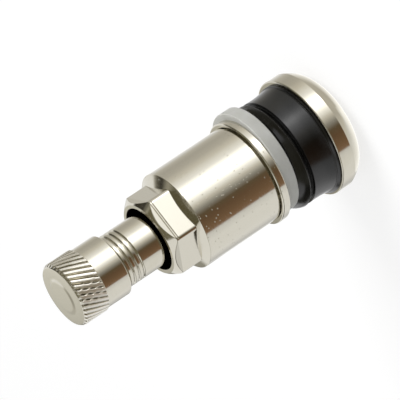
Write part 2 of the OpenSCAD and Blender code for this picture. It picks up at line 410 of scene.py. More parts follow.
@dataclass(frozen=True)
class Finish:
    """Base of the finishes: two colours in clouds, a roughness that varies and a fine relief.

    blend, gloss: values of the pattern at which the colour and the roughness reach their ends. mottle: the
    pattern that the roughness follows, if it varies. substance: inputs of the shader that are the same all
    over. Each of the methods adds the nodes of one input of the shader and gives its socket or value.
    """

    name: str
    colour: str
    cloudy: str
    clouds: Noise
    grain: Noise
    grain_depth: float
    roughness: Pair
    mottle: Noise | None = None
    blend: Pair = (0.35, 0.7)
    gloss: Pair = (0.3, 0.7)
    substance: ClassVar[dict[str, Any]] = {"Metallic": 1.0}

    def base_colour(self, nodes: Nodes) -> NodeSocket:
        """The two colours, mixed by the clouds."""
        stops = [(self.blend[0], linear(self.colour)), (self.blend[1], linear(self.cloudy))]
        return nodes.add("ValToRGB", {"Fac": self.clouds.value(nodes)}, stops)["Color"]

    def shine(self, nodes: Nodes) -> NodeSocket | float:
        """Roughness, between its two ends where it varies.

        Args:
            nodes: the material's nodes.

        Returns:
            Socket, or one value for all.
        """
        if self.mottle is None:
            return self.roughness[0]
        return nodes.add("MapRange", {
            "Value": self.mottle.value(nodes), "From Min": self.gloss[0], "From Max": self.gloss[1],
            "To Min": self.roughness[0], "To Max": self.roughness[1]})["Result"]

    def normal(self, nodes: Nodes) -> NodeSocket:
        """Normal of the fine relief."""
        height = {"Height": self.grain.value(nodes), "Distance": self.grain_depth * MM, "Strength": 1.0}
        return nodes.add("Bump", height)["Normal"]

    def material(self) -> Material:
        """The finish as a material."""
        made = bpy.data.materials.new(self.name)
        nodes = Nodes.of(made)
        shader = nodes.add("BsdfPrincipled", {
            "Base Color": self.base_colour(nodes), "Roughness": self.shine(nodes),
            "Normal": self.normal(nodes), **self.substance})
        nodes.add("OutputMaterial", {"Surface": shader["BSDF"]})
        return made


@dataclass(frozen=True)
class NickelPlate(Finish):
    """Bright nickel plate over turned brass: a warm mirror, softened by fine turning."""

    name: str = "bright_nickel_plate"
    colour: str = "#d3cfc2"
    cloudy: str = "#cdc8b9"
    clouds: Noise = Noise(3.5, 3.0)
    # Turning marks are nearer 0.05 mm and are drawn at 0.16 mm so that they show
    grain: Noise = Noise(0.16, 2.0, turned=0.04)
    grain_depth: float = 0.0004
    roughness: Pair = (0.09, 0.15)
    mottle: Noise | None = grain
    gloss: Pair = (0.3, 0.75)


@dataclass(frozen=True)
class KnurledNickel(NickelPlate):
    """Nickel plate on a knurl: crests rubbed matt by fingers and painted lighter as a highlight, and
    grooves painted darker as shade.
    """

    name: str = "nickel_plate_with_rubbed_knurl_and_painted_light"
    # The crest's near-white colour is a painted highlight and the groove's darker colour is painted shade
    crest: str = "#fdfaf2"
    groove: str = "#948c78"
    # How much rougher a crest is
    matt: float = 0.3

    def base_colour(self, nodes: Nodes) -> NodeSocket:
        """Colour from the groove's painted shade through the plain plate's to the crest's painted
        highlight.
        """
        wear_and_painted_light = nodes.add("Attribute", attribute_name=KNURL_LAYER)["Fac"]
        codes = zip((0.0, PLAIN_KNURL_LEVEL, 1.0), (self.groove, self.colour, self.crest))
        return nodes.add("ValToRGB", {"Fac": wear_and_painted_light}, [(at, linear(code)) for at, code in codes])["Color"]

    def shine(self, nodes: Nodes) -> NodeSocket | float:
        """The plate's roughness, and more of it on the crests.

        Args:
            nodes: the material's nodes.

        Returns:
            Socket with the roughness.
        """
        wear_and_painted_light = nodes.add("Attribute", attribute_name=KNURL_LAYER)["Fac"]
        matt = nodes.add("MapRange", {"Value": wear_and_painted_light, "From Min": PLAIN_KNURL_LEVEL, "From Max": 1.0,
                                      "To Min": 0.0, "To Max": self.matt})["Result"]
        return nodes.add("Math", {0: super().shine(nodes), 1: matt}, operation="ADD")[0]


@dataclass(frozen=True)
class BoredNickel(NickelPlate):
    """Nickel plate with fine raised specks outside, and painted shade that darkens its threaded bore."""

    name: str = "nickel_plate_with_painted_bore_shade"
    bore_r: float = 4.74
    # Dark colour painted inside the bore as the shade in its depth
    bore_shade_colour: str = "#33291f"
    # Specks: spacing, radius as a share of it, share of that radius at full height, share of the cells
    # that have one, height, and how far from the axis they start
    speck_mm: float = 0.6
    speck_r: float = 0.14
    speck_flat: float = 0.3
    speck_share: float = 0.85
    speck_h: float = 0.03
    speck_from: float = 6.7

    def beyond(self, nodes: Nodes, radius: float) -> NodeSocket:
        """Tells places farther from the axis than a radius.

        Args:
            nodes: the material's nodes.
            radius: distance from the axis in millimetres.

        Returns:
            Socket that is 1 beyond the radius and 0 inside it.
        """
        place = nodes.add("TexCoord")["Object"]
        flat = nodes.add("VectorMath", {0: place, 1: (1.0, 1.0, 0.0)}, operation="MULTIPLY")[0]
        reach = nodes.add("VectorMath", {0: flat}, operation="LENGTH")["Value"]
        return nodes.add("Math", {0: reach, 1: radius * MM}, operation="GREATER_THAN")[0]

    def base_colour(self, nodes: Nodes) -> NodeSocket:
        """The plate's colour, and a dark painted shade inside the bore."""
        stops = [(0.0, linear(self.bore_shade_colour)), (1.0, linear(self.colour))]
        return nodes.add("ValToRGB", {"Fac": self.beyond(nodes, self.bore_r)}, stops)["Color"]

    def normal(self, nodes: Nodes) -> NodeSocket:
        """The plate's relief with round specks in some cells of a cell pattern.

        Args:
            nodes: the material's nodes.

        Returns:
            Socket with the normal.
        """
        place = nodes.add("TexCoord")["Object"]
        cells = nodes.add("TexVoronoi", {"Vector": place, "Scale": per_metre(self.speck_mm)})
        specks = nodes.add("MapRange", {"Value": cells["Distance"], "From Min": self.speck_r,
                                        "From Max": self.speck_flat * self.speck_r})["Result"]
        chance = nodes.add("SeparateColor", {"Color": cells["Color"]})["Red"]
        chosen = nodes.add("Math", {0: chance, 1: self.speck_share}, operation="LESS_THAN")[0]
        for factor in (chosen, self.beyond(nodes, self.speck_from)):
            specks = nodes.add("Math", {0: specks, 1: factor}, operation="MULTIPLY")[0]
        return nodes.add("Bump", {"Height": specks, "Distance": self.speck_h * MM, "Strength": 1.0,
                                  "Normal": super().normal(nodes)})["Normal"]


@dataclass(frozen=True)
class TurnedMetal(Finish):
    """Bare turned or drawn metal of the core: a satin shine with rings or draw marks across the axis."""

    clouds: Noise = Noise(0.2, 2.0, turned=0.05)
    grain: Noise = clouds
    grain_depth: float = 0.002
    roughness: Pair = (0.2, 0.34)
    mottle: Noise | None = clouds


@dataclass(frozen=True)
class MouldedRubber(Finish):
    """Moulded black synthetic rubber: satin black with a faint grey bloom and fine mould texture."""

    name: str = "moulded_black_rubber"
    colour: str = "#0a0a0a"
    cloudy: str = "#191a1a"
    clouds: Noise = Noise(3.2, 4.0)
    grain: Noise = Noise(0.22, 3.0)
    grain_depth: float = 0.006
    roughness: Pair = (0.14, 0.24)
    mottle: Noise | None = clouds
    blend: Pair = (0.4, 0.72)
    substance = {"IOR": 1.52}


@dataclass(frozen=True)
class NaturalNylon(Finish):
    """Natural polyamide washer, punched from sheet: milky grey, matt and slightly translucent."""

    name: str = "natural_nylon"
    colour: str = "#cfcfca"
    cloudy: str = "#c5c5be"
    clouds: Noise = Noise(2.4, 3.0)
    grain: Noise = Noise(0.18, 2.0)
    grain_depth: float = 0.006
    roughness: Pair = (0.5, 0.5)
    blend: Pair = (0.35, 0.68)
    # Light spreads 0.8 mm under its skin
    substance = {"IOR": 1.53, "Subsurface Weight": 0.2, "Subsurface Radius": (1.0, 1.0, 0.9),
                 "Subsurface Scale": 0.8 * MM}


@dataclass
class Piece:
    """Base of the new pieces: each stands for one node of the frame and moves with one body."""

    name: ClassVar[str]
    node: ClassVar[str]
    body: ClassVar[str]
    slot: ClassVar[Slot]
    finish: Material

    def put(self, grid: Array, ends: Ends) -> Object:
        """Makes a smooth closed mesh of a grid of points and lets it stand for the piece's node.

        Args:
            grid: points in rows and columns.
            ends: how the rows close.

        Returns:
            The new object.
        """
        rows, columns = grid.shape[:2]
        if ends is Ends.LOOP:
            faces = grid_faces(rows, columns, ends).tolist()
        else:
            # Quads between the poles, and a fan of triangles at each pole
            here = np.arange(columns)
            there = np.roll(here, -1)
            pole, ring = np.full(columns, (rows - 2) * columns), (rows - 3) * columns
            faces = grid_faces(rows - 2, columns, ends).tolist()
            faces += np.stack([pole, there, here], axis=-1).tolist()
            faces += np.stack([pole + 1, ring + here, ring + there], axis=-1).tolist()
        piece = new_mesh(self.name, listed(grid, ends), faces, self.finish)
        piece.data.polygons.foreach_set("use_smooth", np.ones(len(faces), dtype=bool))
        piece.data.update()
        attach(piece, self.body)
        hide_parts(self.node)
        return piece


@dataclass(frozen=True)
class Thread:
    """Right-handed screw thread cut into a round bar, between two heights."""

    pitch: float
    depth: float
    low: float
    high: float
    # Points along the axis in each turn, how much of the wave stays as the flat crest, and turns to run out
    steps: int = 16
    crest: float = 0.5
    run_out: float = 0.9

    @property
    def step(self) -> float:
        """Spacing of rows that shows the thread's form."""
        return self.pitch / self.steps

    def cut(self, z: Array, angle: Array) -> Array:
        """Depth of the groove: the lower part of a wave that runs along z = pitch * turns.

        Args:
            z: heights.
            angle: angles in radians.

        Returns:
            How far the surface lies below the bar.
        """
        wave = 0.5 - 0.5 * np.cos(TURN * z / self.pitch - angle)
        groove = smooth_step(self.crest, 1.0, wave)
        fade = smooth_step(self.low, self.low + self.run_out * self.pitch, z)
        return self.depth * groove * fade * (z <= self.high)


@dataclass
class ValveStem(Piece):
    """Stem and head in one turned piece, with the thread for the nut and the thread for the cap."""

    name, node, body, slot = "stem_and_head", "valve_stem", "stem", Slot.NICKEL
    columns: int = 168
    head_band: float = 2.1
    head_round: float = 4.0
    head_edge: float = 0.16
    neck_r: float = 4.5
    shank_r: float = 3.87
    air_r: float = 1.5
    air_edge: float = 0.15
    chamber_r: float = 2.0
    core_r: float = 2.67
    # Heights inside the stem, counted down from its mouth
    seat_top_drop: float = 5.2
    seat_drop: float = 6.9
    chamber_drop: float = 15.6
    edge: float = 0.2
    edge_step: float = 0.1
    dome_steps: int = 30
    # Pitch and depth of each thread, and how far above the nut the cap's starts
    nut_pitch: float = 1.0
    nut_cut: float = 0.42
    cap_pitch: float = 0.794
    cap_cut: float = 0.17
    cap_start: float = 3.4
    span: Span = span_of("valve_stem")
    nut: Span = span_of("clamp_nut")
    seat: Span = span_of("grommet")

    @property
    def neck_top(self) -> float:
        """Height at which the neck gives way to the shank, inside the nut's mouth."""
        return self.nut.top - MOUTH_H

    def threads(self) -> tuple[Thread, Thread]:
        """The nut's thread and the cap's thread."""
        cap_low = self.nut.top + self.cap_start
        return (Thread(self.nut_pitch, self.nut_cut, self.seat.top, self.neck_top, steps=12),
                Thread(self.cap_pitch, self.cap_cut, cap_low, self.span.top, crest=0.6))

    def outline(self) -> Array:
        """Outline of the stem's section, from the air passage round the outside and back down the bore."""
        head_r, head_h, mouth = self.span.radius, self.seat.bottom, self.span.top
        nut_thread, cap_thread = self.threads()
        band_z = head_h - self.head_band
        drop = math.asin((self.head_round - band_z) / self.head_round)
        back_x = head_r - self.head_round * math.cos(drop)
        sweep = np.linspace(-0.5 * math.pi, -drop, self.dome_steps)[1:]
        dome = curve_corners(back_x + self.head_round * np.cos(sweep),
                             self.head_round + self.head_round * np.sin(sweep))
        # Radii and depths below the mouth, from its chamfer down the bore
        bore = ((self.shank_r - 2 * self.edge, 0.0), (self.core_r + self.edge, 0.0),
                (self.core_r, self.edge), (self.core_r, self.seat_top_drop),
                (self.chamber_r, self.seat_drop), (self.chamber_r, self.chamber_drop),
                (self.air_r, self.chamber_drop))
        return rounded_outline([
            Corner(self.air_r, 0.0, self.air_edge), Corner(back_x, 0.0, bend=True), *dome,
            Corner(head_r, head_h, self.head_edge), Corner(self.neck_r, head_h, EASED),
            Corner(self.neck_r, nut_thread.low, step=nut_thread.step),
            Corner(self.neck_r, self.neck_top - (self.neck_r - self.shank_r), EASED),
            Corner(self.shank_r, self.neck_top, EASED),
            Corner(self.shank_r, cap_thread.low - self.edge, step=cap_thread.step),
            Corner(self.shank_r, mouth - 2 * self.edge, BREAK, step=self.edge_step),
            *(Corner(r, mouth - drop, BREAK) for r, drop in bore)])

    def dress(self) -> None:
        """Turned surface with both threads cut into its outside."""
        outline = self.outline()
        angle = even_angles(self.columns)[None, :]
        r, z = outline[:, :1], outline[:, 1:]
        nut_thread, cap_thread = self.threads()
        on_neck = np.abs(r - self.neck_r) < SLACK
        on_shank = (r > self.shank_r - 2 * self.edge) & (z > cap_thread.low)
        cut = np.where(on_neck, nut_thread.cut(z, angle), np.where(on_shank, cap_thread.cut(z, angle), 0.0))
        # The chamfer at the mouth takes the last turn away with the rest of the bar
        chamfer = np.where(on_shank, np.maximum(0.0, self.shank_r - r), 0.0)
        self.put(swept(r - np.maximum(0.0, cut - chamfer), z, angle), Ends.LOOP)


@dataclass
class SealingGrommet(Piece):
    """Moulded rubber seal: lip against the head, hollow waist, crease, rounded ring and nose."""

    name, node, body, slot = "sealing_grommet", "grommet", "stem", Slot.RUBBER
    columns: int = 192
    waist_r: float = 7.95
    ring_h: float = 2.25
    ring_low: float = 0.02
    ring_top: float = 0.85
    ring_bulge: float = 0.12
    crease_depth: float = 0.5
    # How far the crease reaches below and above its bottom
    crease_below: float = 0.1
    crease_above: float = 0.8
    waist_flare: float = 0.15
    waist_taper: float = 0.08
    waist_hollow: float = 0.1
    lip_h: float = 0.4
    lip_soft: float = 0.1
    lip_edge: float = 0.06
    lip_lean: float = 0.3
    # The lip is squeezed out less on the +X side
    lip_shift: float = 0.3
    nose_edge: float = 0.2
    bore_r: float = 4.52
    bow_steps: int = 18
    span: Span = span_of("grommet")
    washer: Span = span_of("rim_washer")

    def bow(self, start: Pair, end: Pair, bulge: float) -> list[Corner]:
        """Shallow curve that swells by bulge at its middle: a straight line plus bulge * sin(pi t).

        Args:
            start: first point.
            end: last point.
            bulge: swelling outwards.

        Returns:
            Corners along the curve.
        """
        # Points crowd towards both ends, so that the corners there stay crisp
        t = 0.5 - 0.5 * np.cos(np.linspace(0.0, math.pi, self.bow_steps))
        r = start[0] + (end[0] - start[0]) * t + bulge * np.sin(math.pi * t)
        return curve_corners(r, start[1] + (end[1] - start[1]) * t)

    def outline(self) -> Array:
        """Outline of the grommet's section, from the bore round the outside."""
        low, top, seat, r = self.span.bottom, self.span.top, self.washer.bottom, self.waist_r
        lip_r = self.span.radius
        crease_z = seat - self.ring_h
        waist = self.bow((r + self.waist_flare, low + self.lip_h + self.lip_soft),
                         (r - self.waist_taper, crease_z - self.crease_below), -self.waist_hollow)
        ring = self.bow((r - self.ring_low, crease_z + self.crease_above), (r - self.ring_top, seat),
                        self.ring_bulge)
        return rounded_outline([
            Corner(self.bore_r, low), Corner(lip_r - self.lip_soft, low, BREAK),
            Corner(lip_r, low + self.lip_soft, self.lip_edge),
            Corner(lip_r - self.lip_lean, low + self.lip_h), *waist,
            Corner(r - self.crease_depth, crease_z, SHARP), *ring, Corner(NOSE_R, seat, BREAK),
            Corner(NOSE_R, top, self.nose_edge), Corner(self.bore_r, top, BREAK)])

    def dress(self) -> None:
        """Turned surface whose lip is pulled in on one side."""
        outline = self.outline()
        angle = even_angles(self.columns)[None, :]
        r, z = outline[:, :1], outline[:, 1:]
        low_enough = z < self.span.bottom + self.lip_h + SLACK
        on_lip = smooth_step(self.waist_r, self.span.radius - self.lip_lean, r) * low_enough
        r = r - 0.5 * self.lip_shift * on_lip * (1.0 + np.cos(angle))
        self.put(swept(r, z, angle), Ends.LOOP)


@dataclass
class RimWasher(Piece):
    """Loose nylon washer between the grommet and the nut, lying off the axis."""

    name, node, body, slot = "nylon_washer", "rim_washer", "washer", Slot.NYLON
    columns: int = 192
    nose_gap: float = 0.15
    edge: float = 0.12
    edge_step: float = 0.3
    span: Span = span_of("rim_washer")

    def dress(self) -> None:
        """Turned ring about an axis of its own."""
        shift = float(self.span.low[0] + self.span.high[0]) / 2
        hole_r = NOSE_R + shift + self.nose_gap
        low, top, r = self.span.bottom, self.span.top, self.span.radius
        outline = rounded_outline([
            Corner(hole_r, low, BREAK), Corner(r, low, self.edge, step=self.edge_step),
            Corner(r, top, self.edge), Corner(hole_r, top, BREAK)])
        ring = swept(outline[:, :1], outline[:, 1:], even_angles(self.columns)[None, :])
        self.put(ring + (shift, 0.0, 0.0), Ends.LOOP)


@dataclass
class SleeveNut(Piece):
    """Sleeve nut: flange, groove, sleeve and shoulder are turned, and a chamfered hexagon stands on top."""

    name, node, body, slot = "sleeve_nut", "clamp_nut", "nut", Slot.NICKEL
    sleeve_r: float = 7.2
    flange_h: float = 1.25
    groove_w: float = 0.2
    groove_depth: float = 0.5
    shoulder_h: float = 0.75
    shoulder_edge: float = 0.06
    hex_af: float = 11.0
    hex_h: float = 3.9
    hex_turn: float = 10.0
    hex_chamfer: float = 1.1
    hex_edge: float = 0.7
    facet_h: float = 1.0
    facet_tilt: float = 4.0
    # Two fine scored lines where the facet of one flat starts: how far below its line, half width, depth,
    # and the section of a line across its width
    scores: tuple[float, ...] = (0.28, 0.0)
    score_half: float = 0.09
    score_depth: float = 0.07
    score_sides: tuple[float, ...] = (-1.1, -1.0, -0.85, -0.15, 0.0, 0.15, 0.85, 1.0, 1.1)
    score_depths: tuple[float, ...] = (0.0, 0.0, 0.15, 0.85, 1.0, 0.85, 0.15, 0.0, 0.0)
    mouth_r: float = 4.69
    thread_r: float = 4.55
    thread_h: float = 8.3
    socket_r: float = 5.95
    socket_cone: float = 1.0
    edge: float = 0.2
    # Spacing of columns along the hexagon's flats, gap of the rows beside its foot, least gap of rows
    flat_step: float = 0.16
    foot_gap: float = 0.03
    hair: float = 0.0004
    # Rows as shares of the way up a flat, up its facet and in along the chamfer
    flat_rows: tuple[float, ...] = (0.25, 0.5, 0.75)
    facet_rows: tuple[float, ...] = (0.5, 0.88, 1.0)
    chamfer_rows: tuple[float, ...] = (0.04, 0.3, 0.6, 0.96)
    span: Span = span_of("clamp_nut")

    @property
    def apothem(self) -> float:
        """Distance of the hexagon's flats from the axis."""
        return self.hex_af / 2

    @property
    def corner_r(self) -> float:
        """Distance of the hexagon's corners from the axis."""
        return self.apothem / math.cos(HALF_SIDE)

    @property
    def land(self) -> float:
        """Radius of the end face, inside the chamfer."""
        return self.corner_r - self.hex_chamfer

    def hexagon(self) -> Array:
        """Points (x, y) of the hexagon's outline with its corners just broken, counter-clockwise."""
        turns = np.radians(self.hex_turn + 60.0 * np.arange(6))
        return rounded_outline([Corner(self.corner_r * math.cos(a), self.corner_r * math.sin(a),
                                       self.hex_edge, self.flat_step) for a in turns])

    def shoulder(self, r: Array | float) -> Array | float:
        """Height of the shoulder's cone, which meets the middle of each flat at the hexagon's foot."""
        slope = self.shoulder_h / (self.sleeve_r - self.apothem)
        return self.span.top - self.hex_h - slope * (r - self.apothem)

    def hexagon_rows(self, hex_r: Array, angle: Array) -> tuple[Array, Array]:
        """Rows of the hexagon from the shoulder to the end face.

        A flat rises to the line of its facet, the facet leans in by its tilt, and both end where they meet
        the chamfer's cone r = land + (top - z), which then runs in to the land.

        Args:
            hex_r: radius of the hexagon in each column.
            angle: direction of each column, in radians.

        Returns:
            Radii and heights, one row per level.
        """
        top, near = self.span.top, self.foot_gap
        foot = self.shoulder(hex_r)
        lean = math.tan(math.radians(self.facet_tilt)) / self.apothem
        line = top - self.facet_h
        straight_end = top + self.land - hex_r
        facet_end = (top + self.land - hex_r * (1.0 + lean * line)) / (1.0 - hex_r * lean)
        end = np.where(straight_end > line, facet_end, straight_end)
        line_z = np.minimum(line, end - GUARD)
        # The flat that bears the scored lines is the one on the camera's side
        scored_mid = math.radians(self.hex_turn - 90.0)
        on_flat = np.cos(angle - scored_mid) > math.cos(HALF_SIDE)
        scored = np.where((straight_end > line) & on_flat, self.score_depth, 0.0)
        low_score = line_z - self.scores[0] - self.score_half
        levels = [(foot + near, 0.0), *((foot + (low_score - foot) * t, 0.0) for t in self.flat_rows)]
        for below in self.scores:
            levels += [(line_z - below + side * self.score_half, depth * scored)
                       for side, depth in zip(self.score_sides, self.score_depths)]
        levels += [(line_z + (end - line_z) * t, 0.0) for t in self.facet_rows]
        # Levels that would pass the chamfer stop a hair apart below it, so that no face is empty
        hairs = self.hair * np.arange(len(levels) - 1, -1, -1)
        z = np.stack([np.minimum(level, end - hair) for (level, _), hair in zip(levels, hairs)])
        r = hex_r * np.where(z > line_z, 1.0 - lean * (z - line_z), 1.0)
        r -= np.stack([depth + 0.0 * hex_r for _, depth in levels])
        cone_r = r[-1] + (self.land - r[-1]) * np.array(self.chamfer_rows)[:, None]
        cone_z = z[-1] + (r[-1] - cone_r)
        # One row lies on the shoulder, just outside the foot, so that the shoulder shades as a plain cone
        outside = hex_r + near
        return (np.concatenate([outside[None], hex_r[None], r, cone_r]),
                np.concatenate([self.shoulder(outside)[None], foot[None], z, cone_z]))

    def dress(self) -> None:
        """Turned rows from the end face through the bore and up the outside, then the hexagon's rows."""
        flat = self.hexagon()
        hex_r, angle = np.hypot(flat[:, 0], flat[:, 1]), np.arctan2(flat[:, 1], flat[:, 0])
        low, top, flange_r = self.span.bottom, self.span.top, self.span.radius
        sleeve = low + self.flange_h
        thread_top = top - MOUTH_H
        thread_low = thread_top - self.thread_h
        groove_r = self.sleeve_r - self.groove_depth
        beside = float(hex_r.max()) + 2 * GUARD
        turned = rounded_outline([
            Corner(self.land, top), Corner(self.mouth_r, top, EASED),
            Corner(self.mouth_r, thread_top, BREAK), Corner(self.thread_r, thread_top, SHARP),
            Corner(self.thread_r, thread_low, BREAK),
            Corner(self.socket_r, thread_low - self.socket_cone, BREAK), Corner(self.socket_r, low, EASED),
            Corner(flange_r, low, self.edge), Corner(flange_r, sleeve, self.edge),
            Corner(groove_r, sleeve, SHARP), Corner(groove_r, sleeve + self.groove_w, SHARP),
            Corner(self.sleeve_r, sleeve + self.groove_w, SHARP),
            Corner(self.sleeve_r, self.shoulder(self.sleeve_r), self.shoulder_edge),
            Corner(beside, self.shoulder(beside))], Ends.OPEN)
        hex_rows, hex_z = self.hexagon_rows(hex_r, angle)
        spread = np.ones_like(hex_r)
        r = np.concatenate([turned[:, :1] * spread, hex_rows])
        z = np.concatenate([turned[:, 1:] * spread, hex_z])
        self.put(swept(r, z, angle[None, :]), Ends.LOOP)


@dataclass
class DustCap(Piece):
    """Dust cap: smooth collar, knurled band, domed end with a low button, bored from below."""

    name, node, body, slot = "knurled_cap", "valve_cap", "cap", Slot.NICKEL
    ridges: int = 36
    steps_per_ridge: int = 14
    slant: float = 26.0
    # Share of the spacing that a groove takes at the collar and at the cap's end, where it is deeper too
    groove_shares: Pair = (0.2, 0.4)
    groove_extra: float = 0.1
    # The second, lighter pass of the knurling tool leans the other way and leaves ridges across the grooves
    cross_lines: int = 24
    cross_slant: float = -38.0
    cross_share: float = 0.62
    # It bites unevenly: most in this direction and in as many places round the cap, fading between the two
    # values of a wave
    cross_side: float = -108.0
    cross_places: int = 3
    cross_fade: Pair = (0.2, 0.9)
    # How far a ridge's top is crowned
    crown: float = 0.1
    collar_r: float = 4.47
    collar_edge: float = 0.15
    knurl_h: float = 3.65
    knurl_lead: float = 0.1
    knurl_fade: float = 0.15
    knurl_edge: float = 0.03
    knurl_step: float = 0.07
    end_round: float = 0.65
    rim: float = 0.27
    rim_rise: float = 0.38
    # The dome starts a little past the rim's chamfer, inwards and upwards
    dome_in: float = 1.15
    dome_up: float = 1.1
    dome_steps: int = 12
    # Low round button in the middle of the end
    button_r: float = 2.5
    button_soft: float = 0.36
    button_h: float = 0.16
    button_steps: int = 22
    bore_r: float = 3.92
    wall: float = 1.55
    edge: float = 0.2
    span: Span = span_of("valve_cap")

    @property
    def knurl_top(self) -> float:
        """Height at which the knurled band ends and the rim starts."""
        return self.span.top - self.end_round

    @property
    def knurl_low(self) -> float:
        """Height at which the knurled band starts above the collar."""
        return self.knurl_top - self.knurl_h

    def outline(self) -> Array:
        """Outline of the cap's section, from the ceiling of its bore round the outside to the button."""
        low, top, knurl_r = self.span.bottom, self.span.top, self.span.radius
        ceiling, knurl_top = top - self.wall, self.knurl_top
        # The end is a low dome inside the chamfered rim, within the rounding of the solid
        dome = np.linspace(1.0, 0.0, self.dome_steps)
        foot_r, foot_z = self.button_r + self.button_soft, top - self.button_h
        rim_r, rim_z = knurl_r - self.dome_in * self.rim, knurl_top + self.dome_up * self.rim_rise
        crown = curve_corners(foot_r + (rim_r - foot_r) * dome, foot_z - (foot_z - rim_z) * dome ** 2)
        wall_r = np.linspace(foot_r, self.button_r - self.button_soft, self.button_steps)
        button = curve_corners(wall_r, top - self.button_h * smooth_step(wall_r[-1], foot_r, wall_r))
        return rounded_outline([
            Corner(0.0, ceiling), Corner(self.bore_r, ceiling, EASED),
            Corner(self.bore_r, low + self.edge, BREAK), Corner(self.bore_r + self.edge, low, BREAK),
            Corner(self.collar_r, low, self.collar_edge),
            Corner(self.collar_r, self.knurl_low, self.knurl_edge),
            Corner(knurl_r, self.knurl_low + self.knurl_lead, self.knurl_edge, step=self.knurl_step),
            Corner(knurl_r, knurl_top), Corner(knurl_r, knurl_top + GUARD, self.knurl_edge),
            Corner(knurl_r - self.rim, knurl_top + self.rim_rise), *crown[:-1], *button,
            Corner(0.0, top)], Ends.OPEN)

    @staticmethod
    def wedges(at: Array, count: int, share: Array | float) -> Array:
        """As many wedges in a turn: 1 at the middle of each, falling straight to 0 across its share."""
        off = np.abs(np.mod(at * count / TURN, 1.0) - 0.5)
        return np.clip(1.0 - off / (0.5 * share), 0.0, 1.0)

    def dress(self) -> None:
        """Turned surface with slanted grooves in its band, crossed in places by a second set of ridges.

        The columns lean with the grooves, so a ridge is one strip of columns. A groove is a V across its
        share of the spacing, and a ridge's top is crowned by a parabola. The grooves grow wider and deeper
        towards the cap's end and open on its rim. The second set fills them where it crosses.
        """
        outline = self.outline()
        r, z = outline[:, :1], outline[:, 1:]
        knurl_r, low, top = self.span.radius, self.knurl_low, self.knurl_top
        rise = np.clip(z - low, 0.0, None)
        along = np.clip(rise / self.knurl_h, 0.0, 1.0)
        column = even_angles(self.ridges * self.steps_per_ridge)[None, :]
        angle = column + math.tan(math.radians(self.slant)) * rise / knurl_r
        crossing = angle - math.tan(math.radians(self.cross_slant)) * rise / knurl_r
        share = self.groove_shares[0] + (self.groove_shares[1] - self.groove_shares[0]) * along
        step = knurl_r - self.collar_r
        beside = np.abs(np.mod(column * self.ridges / TURN + 0.5, 1.0) - 0.5)
        grooves = (step + self.groove_extra * along) * self.wedges(column, self.ridges, share)
        grooves = grooves + self.crown * (2.0 * beside) ** 2
        wave = np.cos(self.cross_places * (angle - math.radians(self.cross_side)))
        bite = smooth_step(*self.cross_fade, wave)
        cut = grooves * (1.0 - bite * self.wedges(crossing, self.cross_lines, self.cross_share))
        # The grooves fade in past the collar's edge and run out on the end's rim
        fade = smooth_step(low, low + self.knurl_fade, z) * (1.0 - smooth_step(top, top + self.rim_rise, z))
        root_r = self.collar_r - self.groove_extra
        banded = (r > root_r) & (z > low)
        cut_r = np.where(banded, np.maximum(r - cut * fade, root_r), r)
        piece = self.put(swept(cut_r, z, angle), Ends.OPEN)
        # Knurl attribute: falls towards 0 with a groove's depth and rises to 1 on a crest; the finish
        # paints shade in the grooves and a highlight on the crests from it, and roughens the crests
        wear_and_painted_light = PLAIN_KNURL_LEVEL + np.where(banded, (1.0 - PLAIN_KNURL_LEVEL - np.clip(cut / step, 0.0, 1.0)) * fade, 0.0)
        layer = piece.data.attributes.new(KNURL_LAYER, "FLOAT", "POINT")
        layer.data.foreach_set("value", listed(wear_and_painted_light, Ends.OPEN).astype(np.float32))


@dataclass
class ValveCore:
    """Inner pieces that keep their own solids: plug, barrel, pin, cup, spring and rubber seals."""

    brass: tuple[str, ...] = ("core_plug", "core_barrel", "core_pin", "plunger_cup")
    rubber: tuple[str, ...] = ("barrel_gasket", "seat_seal", "cap_seal")
    spring: tuple[str, ...] = ("pin_spring",)
    # The record's stroke of the pin, with a hair more so that the spring never meets the pin's collar
    pin_stroke: float = 1.52
    coil: Span = span_of("pin_spring")

    def dress(self, brass: Material, rubber: Material, steel: Material) -> None:
        """Gives each inner piece its finish, and gives the spring a mesh of its own.

        Args:
            brass: finish of the turned pieces.
            rubber: finish of the seals.
            steel: finish of the spring.
        """
        for names, finish in ((self.brass, brass), (self.rubber, rubber), (self.spring, steel)):
            for name in names:
                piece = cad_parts[name]
                piece.data.materials.clear()
                piece.data.materials.append(finish)
                LOG.info("%s: dressed as %s", name, finish.name)
        for name in self.spring:
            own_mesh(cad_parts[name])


@dataclass(frozen=True)
class Card:
    """Base of the glowing cards, which only reflections see: a grid of points with a colour each."""

    name: str

    def hang(self, points: Array, colours: Array) -> None:
        """Makes the card and its glow.

        Args:
            points: places in millimetres, in rows and columns.
            colours: linear colour of each point, and how solid the card is there.
        """
        made = bpy.data.materials.new(self.name)
        nodes = Nodes.of(made)
        glow = nodes.add("Attribute", attribute_name=GLOW_LAYER)
        light = nodes.add("Emission", {"Color": glow["Color"]})[0]
        clear = nodes.add("BsdfTransparent")[0]
        both = nodes.add("MixShader", {0: glow["Alpha"], 1: clear, 2: light})[0]
        nodes.add("OutputMaterial", {"Surface": both})
        faces = grid_faces(*points.shape[:2], Ends.OPEN, closed=False)
        card = new_mesh(self.name, points.reshape(-1, 3), faces.tolist(), made)
        layer = card.data.color_attributes.new(GLOW_LAYER, "FLOAT_COLOR", "POINT")
        layer.data.foreach_set("color", colours.astype(np.float32).ravel())
        for kind in ("camera", "diffuse", "shadow", "transmission", "volume_scatter"):
            setattr(card, "visible_" + kind, False)


